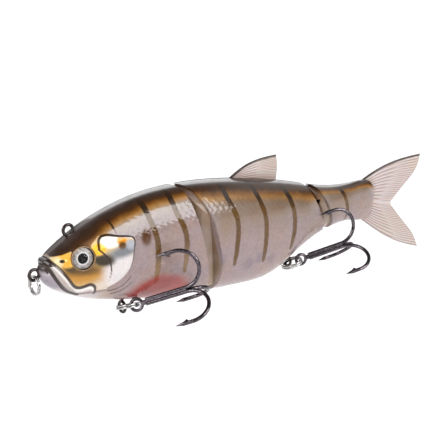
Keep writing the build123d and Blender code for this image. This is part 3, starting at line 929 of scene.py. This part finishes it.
def shell_material(name):
    """Painted shell under a clear coat, with raw plastic where the paint does not reach."""
    material, n = new_material(name)
    below = n.attribute("below_back")
    cover = n.attribute("face_cover")
    body = flank_colour(n, below)
    body = hazed(n, body, below)
    body = striped(n, body, below)
    body = faced(n, body, cover)
    inside = n.slope(n.attribute("depth_inside"), 0.3, 0.55)
    n.shader(
        Base_Color=n.mix(inside, body, raw_plastic_and_shade(n, below)),
        Metallic=n.times(n.times(cover, n.slope(below, 0.0, 2.0)), 0.22),
        Roughness=n.slope(n.noise(500, 3), 0.3, 0.7, 0.30, 0.42),
        Normal=n.bump(n.noise(1500, 3), 0.06, 0.0002),
        Specular_IOR_Level=0.12,
        Coat_Weight=1.0,
        Coat_Roughness=0.04,
        Coat_IOR=1.4,
        Subsurface_Weight=0.12,
        Subsurface_Scale=0.002,
    )
    return material


def fin_material(name):
    """Soft clear rubber, tinted cream and pink, with darker rays and a painted leading edge."""
    material, n = new_material(name)
    ray = n.attribute("ray")
    tint = n.mix(n.slope(n.noise(60, 3), 0.3, 0.7), (182, 169, 160), (180, 168, 167))
    tint = n.mix(n.slope(ray, 0.45, 0.95, 0.0, 0.8), tint, (126, 98, 84))
    tint = n.mix(n.slope(n.attribute("root"), 2.6, 0.0, 0.0, 0.45), tint, (120, 92, 76))
    rim = n.slope(n.attribute("rim"), 0.7, 0.25, 0.0, 0.4)
    tint = n.mix(rim, tint, (128, 124, 124))
    wander = n.math("MULTIPLY_ADD", n.noise(500, 2), 0.3, -0.15)
    lead = n.slope(n.math("ADD", n.attribute("lead"), wander), 0.85, 0.45)
    tint = n.mix(lead, tint, (52, 38, 30))
    n.shader(
        Base_Color=tint,
        Roughness=n.slope(n.noise(800, 2), 0.3, 0.7, 0.34, 0.46),
        Normal=n.bump(n.noise(1600, 3), 0.1, 0.0002),
        Subsurface_Weight=0.3,
        Subsurface_Scale=0.001,
        Coat_Weight=0.35,
        Coat_Roughness=0.2,
    )
    return material


def metal_material(name, dark, light, roughness, grain=1800):
    """Plated wire: fine drawing marks, slightly uneven plating."""
    material, n = new_material(name)
    tone = n.mix(n.slope(n.noise(grain, 4, 0.6), 0.35, 0.7), dark, light)
    n.shader(
        Base_Color=tone,
        Metallic=1.0,
        Roughness=n.slope(n.noise(grain * 0.6, 3), 0.3, 0.7, roughness * 0.75, roughness * 1.3),
        Normal=n.bump(n.noise(grain, 3), 0.08, 0.0001),
    )
    return material


def iris_material(name):
    """Printed foil disc: black pupil, silver iris with fine streaks, dark outer edge."""
    material, n = new_material(name)
    radius = n.attribute("radius")
    streak = n.slope(n.noise(1500, 4, 0.65), 0.3, 0.75, 0.0, 1.0)
    silver = n.mix(streak, (104, 100, 98), (178, 172, 168))
    tone = n.mix(n.slope(radius, 1.6, 2.2), (204, 202, 202), silver)
    tone = n.mix(n.slope(radius, 1.54, 1.64), (3, 3, 4), tone)
    tone = n.mix(n.slope(radius, 3.1, 3.26), tone, (60, 46, 36))
    metallic = n.slope(radius, 1.7, 1.9, 0.0, 0.35)
    n.shader(Base_Color=tone, Metallic=metallic, Roughness=0.4, Specular_IOR_Level=0.2)
    return material


def lens_material(name):
    """Clear moulded dome: passes light straight through and keeps only its gloss."""
    material, n = new_material(name)
    clear = n.node("ShaderNodeBsdfTransparent")
    ripple = n.bump(n.noise(700, 2), 0.02, 0.0001)
    gloss = n.fill(n.node("ShaderNodeBsdfGlossy"), Roughness=0.03, Normal=ripple)
    fresnel = n.fill(n.node("ShaderNodeFresnel"), IOR=1.13)
    mixed = n.node("ShaderNodeMixShader")
    for socket, made in zip(mixed.inputs, (fresnel, clear, gloss)):
        n.put(socket, made.outputs[0])
    n.fill(n.output, Surface=mixed.outputs[0])
    return material


def lead_material(name):
    """Cast ballast: dull grey with a pitted skin."""
    material, n = new_material(name)
    tone = n.mix(n.slope(n.noise(700, 5, 0.65), 0.35, 0.7), (84, 84, 88), (132, 132, 136))
    n.shader(Base_Color=tone, Metallic=0.8, Roughness=0.55, Normal=n.bump(n.noise(900, 5), 0.3, 0.0004))
    return material


# ======== fins ========


def blend_patch(near, far, low, high, rows, columns):
    """Points of a four-sided patch; near and far run along its columns, low and high along its rows."""
    u = np.linspace(0, 1, rows)[:, None, None]
    v = np.linspace(0, 1, columns)[None, :, None]
    ruled = (1 - u) * near[None] + u * far[None] + (1 - v) * low[:, None] + v * high[:, None]
    near_corners = (1 - u) * (1 - v) * near[0] + (1 - u) * v * near[-1]
    return ruled - (near_corners + u * (1 - v) * far[0] + u * v * far[-1])


RAY_FORK = (0.45, 0.8)
RAY_RELIEF = 0.16
FIN_ROUNDING = 0.5


def fin_solid(name, patch, thick, ray_count, lead_edge, rim_edges, root_edge):
    """Thin plate over a patch in the XZ plane, with raised rays running along the rows."""
    rows, columns = patch.shape[:2]
    u = np.linspace(0, 1, rows)[:, None]
    v = np.linspace(0, 1, columns)[None, :]
    forked = smooth(*RAY_FORK, u)
    single = 0.5 + 0.5 * np.cos(2 * math.pi * ray_count * v)
    double = 0.5 + 0.5 * np.cos(4 * math.pi * ray_count * v)
    ray = single * (1 - forked) + double * forked
    x, z = patch[..., 0], patch[..., 1]
    border = np.minimum(path_distance(x, z, lead_edge), path_distance(x, z, rim_edges))
    rounding = np.sqrt(np.clip(1 - (1 - np.clip(border / FIN_ROUNDING, 0, 1)) ** 2, 0.02, 1))
    half = (thick[0] + (thick[1] - thick[0]) * u + RAY_RELIEF * (1 - ray)) * rounding
    index, quads = grid_faces(rows, columns)
    faces = quads.tolist() + (quads[:, ::-1] + rows * columns).tolist()
    loop = np.concatenate([index[0, :-1], index[:-1, -1], index[-1, :0:-1], index[:0:-1, 0]])
    other = loop + rows * columns
    faces += np.stack([loop, np.roll(loop, -1), np.roll(other, -1), other], axis=1).tolist()
    near = np.stack([x, -half, z], axis=-1).reshape(-1, 3)
    far = np.stack([x, half, z], axis=-1).reshape(-1, 3)
    fin = shade(outward(new_object(name, np.concatenate([near, far]), faces)), 60)
    values = {
        "ray": 1 - ray,
        "lead": path_distance(x, z, lead_edge),
        "rim": border,
        "root": path_distance(x, z, root_edge),
    }
    for key, value in values.items():
        write_attribute(fin.data, key, np.tile(value.ravel(), 2))
    return fin


def tail_fin():
    """Forked tail fin: rays fan from the root to the trailing edge."""
    columns, rows = 169, 56
    crest = [(131.5, 8.7), (136.6, 10.7), (146.5, 13.3), (156.0, 14.3), (162.4, 14.5)]
    upper = curve_through(crest, rows)
    lower = curve_through([(131.5, -4.9), (142.6, -12.3), (153.5, -17.8), (163.0, -21.0)], rows)
    upper_rear = [(162.4, 14.5), (161.2, 10.6), (155.0, 4.6), (149.8, 0.6), (147.5, -1.2)]
    lower_rear = [(147.5, -2.5), (150.2, -5.2), (155.2, -10.4), (160.8, -16.6), (163.0, -21.0)]
    trailing = np.concatenate([curve_through(upper_rear, 85), curve_through(lower_rear, 85)[1:]])
    root = np.stack([np.full(columns, 131.5), np.linspace(8.7, -4.9, columns)], axis=1)
    patch = blend_patch(root, trailing, upper, lower, rows, columns)
    rim = np.concatenate([trailing, lower[::-1]])
    lead = upper[: int(rows * 0.97)]
    body_end = [(132.4, 9.0), (135.7, 8.0), (137.4, 5.6), (136.6, 0.6), (135.7, -3.4), (132.4, -5.4)]
    return fin_solid("tail_fin_soft", patch, (0.42, 0.2), 20, lead, rim, np.array(body_end))


def dorsal_fin():
    """Swept dorsal fin: rays lean back from the root to the upper and rear edge."""
    columns, rows = 121, 60
    crest = curve_through([(71.2, 17.9), (78.4, 21.5), (85.0, 22.9), (91.6, 23.3)], rows)
    base_x = np.linspace(71.2, 91.5, rows)
    base = np.stack([base_x, form_at(base_x)[0] - 0.9], axis=1)
    front = np.stack([np.full(columns, 71.2), np.linspace(crest[0, 1], base[0, 1], columns)], axis=1)
    rear = curve_through([tuple(crest[-1]), (92.1, 19.8), tuple(base[-1])], columns)
    patch = blend_patch(front, rear, crest, base, rows, columns)
    root = np.stack([base_x, form_at(base_x)[0]], axis=1)
    return fin_solid("dorsal_fin_soft", patch, (0.4, 0.24), 8, crest, rear, root)


# ======== split rings ========


def swept(name, path, normal, section):
    """Closed solid swept along an open path; the section is across and along the fixed normal."""
    path, normal = np.asarray(path, float), np.asarray(normal, float)
    tangent = np.gradient(path, axis=0)
    tangent /= np.linalg.norm(tangent, axis=1, keepdims=True)
    across = np.cross(tangent, normal)
    across /= np.linalg.norm(across, axis=1, keepdims=True)
    rise = np.cross(across, tangent)
    points = []
    for place, a, b in zip(path, across, rise):
        points.extend(place + a * s + b * t for s, t in section)
    count = len(section)
    faces = [tuple(range(count)), tuple(range(len(points) - count, len(points)))]
    for ring in range(len(path) - 1):
        for k in range(count):
            n = (k + 1) % count
            here, there = ring * count, (ring + 1) * count
            faces.append((here + k, here + n, there + n, there + k))
    return shade(outward(new_object(name, points, faces)), 50)


def coil_ring(name, node, radius, wire, offset):
    """Two turns of flattened spring wire around a CAD ring's own centre and axis."""
    co = vertices_in_mm(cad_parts[node].data)
    centre = (co.max(0) + co.min(0)) / 2 if node == "nose_split_ring" else co.mean(0)
    normal = np.linalg.svd(co - co.mean(0), full_matrices=False)[2][2]
    first = np.cross(normal, (0, 0, 1.0))
    first /= np.linalg.norm(first)
    second = np.cross(normal, first)
    turns = np.linspace(0, 4 * math.pi, 161)
    step = 2 * offset * smooth(-0.35, 0.35, turns - 2 * math.pi) - offset
    circle = np.cos(turns)[:, None] * first + np.sin(turns)[:, None] * second
    path = centre + radius * circle + step[:, None] * normal
    section = []
    for k in range(12):
        c, s = math.cos(2 * math.pi * k / 12), math.sin(2 * math.pi * k / 12)
        across, along = math.copysign(abs(c) ** 0.7, c), math.copysign(abs(s) ** 0.5, s)
        section.append((wire * across, offset * 0.93 * along))
    return swept(name, path, normal, section)


# ======== assembly ========


def dress(thing, body, slot, material, *nodes):
    """Gives a new piece its finish, puts it under its body and hides the CAD nodes it stands for."""
    thing.data.materials.clear()
    thing.data.materials.append(material)
    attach(thing, body)
    if nodes:
        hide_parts(*nodes)


def finish_node(node, material):
    """Gives a CAD node its material."""
    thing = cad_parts[node]
    thing.data.materials.clear()
    thing.data.materials.append(material)
    for polygon in thing.data.polygons:
        polygon.material_index = 0


shell = shell_material("lacquered_shell")
for body, part, half in (
    ("head", "front", front_half()),
    ("middle", "middle", middle_half()),
    ("tail", "tail", tail_half()),
):
    twin = mirrored(half, f"{part}_skin_right")
    for thing, hand in ((half, "left"), (twin, "right")):
        thing.name = f"{part}_skin_{hand}"
        shade(thing)
        paint_skin(thing)
        dress(thing, body, f"shell_{part}", shell, f"{part}_shell_{hand}")

fin = fin_material("soft_fin")
dress(tail_fin(), "tail", "fin", fin, "tail_fin")
dress(dorsal_fin(), "middle", "fin", fin, "dorsal_fin")

ring_steel = metal_material("bright_ring", (146, 144, 144), (200, 198, 196), 0.14)
wire_steel = metal_material("dark_wire", (44, 38, 38), (88, 80, 78), 0.24)
hook_steel = metal_material("black_nickel", (62, 57, 60), (112, 104, 110), 0.13)
for place, radius, wire, offset in (
    ("nose", 2.65, 0.33, 0.28),
    ("front", 3.35, 0.40, 0.35),
    ("rear", 3.35, 0.40, 0.35),
):
    node = f"{place}_split_ring"
    coil = coil_ring(f"{place}_ring_coil", node, radius, wire, offset)
    dress(coil, f"{place}_ring", "ring", ring_steel, node)

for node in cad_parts:
    if "treble_hook" in node:
        finish_node(node, hook_steel)
    if any(word in node for word in ("line_tie", "hanger", "joint_eye", "joint_pin")):
        finish_node(node, wire_steel)
    if "ballast" in node:
        finish_node(node, lead_material(f"cast_{node}"))
lens = lens_material("clear_lens")
iris = iris_material("printed_iris")
for part, node, slot, material, made in (
    ("iris_disc", "iris_foil", "iris", iris, iris_disc("iris_disc_left")),
    ("lens_dome", "eye_lens", "lens", lens, eye_lens("lens_dome_left")),
):
    for hand, thing in (("left", made), ("right", mirrored(made, f"{part}_right"))):
        dress(shade(thing, 30), "head", slot, material, f"{node}_{hand}")


# ======== studio ========

TARGET = Vector((69.72, 0.0, 3.30)) * MM
CAMERA_AZIMUTH = math.radians(-39.0)
CAMERA_ELEVATION = math.radians(15.0)
CAMERA_DISTANCE = 370.8 * MM
CAMERA_LENS = 92.78
SENSOR = 36.0
FLOOR_DROP = 110.0 * MM
FLOOR_SIZE = 40.0
SOFTBOX_DISTANCE = 6.0

# ---- walls and ceiling: from and to in height, strength at each ----
WALL_BAND = (0.34, 0.50, 0.20, 1.1)
CEILING_BAND = (0.62, 0.78, 1.0, 0.14)


def add_camera():
    """Camera at the angle of the product view."""
    a, e = CAMERA_AZIMUTH, CAMERA_ELEVATION
    back = Vector((math.sin(a) * math.cos(e), -math.cos(a) * math.cos(e), math.sin(e)))
    camera = linked("camera", bpy.data.cameras.new("camera"))
    camera.data.lens = CAMERA_LENS
    camera.data.sensor_width = SENSOR
    camera.data.clip_start = 0.01
    camera.data.clip_end = 50.0
    camera.location = TARGET + back * CAMERA_DISTANCE
    camera.rotation_mode = "QUATERNION"
    camera.rotation_quaternion = (-back).to_track_quat("-Z", "Y")
    bpy.context.scene.camera = camera


def add_softbox(name, direction, size, radiance):
    """Rectangular light that looks at the lure from a direction, with an even face of that radiance."""
    light = bpy.data.lights.new(name, "AREA")
    light.shape = "RECTANGLE"
    light.size, light.size_y = size
    light.energy = radiance * math.pi * size[0] * size[1]
    thing = linked(name, light)
    way = Vector(direction).normalized()
    thing.location = TARGET + way * SOFTBOX_DISTANCE
    thing.rotation_mode = "QUATERNION"
    thing.rotation_quaternion = way.to_track_quat("Z", "Y")


def add_floor():
    """Large pale floor, far enough below for its shadow to stay soft."""
    place = (0, 0, -FLOOR_DROP)
    bpy.ops.mesh.primitive_grid_add(x_subdivisions=2, y_subdivisions=2, size=FLOOR_SIZE, location=place)
    floor = bpy.context.object
    floor.name = "floor"
    material, n = new_material("pale_floor")
    tone = n.mix(n.noise(3, 3), (252, 252, 253), (255, 255, 255))
    n.shader(Base_Color=tone, Roughness=0.8)
    floor.data.materials.append(material)


def add_world():
    """Studio walls: dim at the horizon, a bright band above it, dark ceiling."""
    world = bpy.data.worlds.new("studio")
    bpy.context.scene.world = world
    world.use_nodes = True
    n = Nodes(world, "ShaderNodeOutputWorld")
    split = n.node("ShaderNodeSeparateXYZ")
    n.put(split.inputs[0], n.node("ShaderNodeTexCoord").outputs["Generated"])
    up = split.outputs["Z"]
    strength = n.times(n.slope(up, *WALL_BAND), n.slope(up, *CEILING_BAND))
    background = n.fill(n.node("ShaderNodeBackground"), Strength=strength)
    background.inputs["Color"].default_value = (0.98, 0.98, 1.0, 1.0)
    n.fill(n.output, Surface=background.outputs[0])


add_camera()
add_floor()
add_world()
add_softbox("key_softbox", (0.36, -0.83, 0.42), (3.8, 3.4), 7.6)
add_softbox("nose_softbox", (-0.90, -0.10, 0.50), (5.0, 3.6), 6.0)
add_softbox("crest_softbox", (0.60, 0.66, 0.40), (5.5, 3.2), 1.8)
bpy.context.scene.view_settings.view_transform = "Standard"
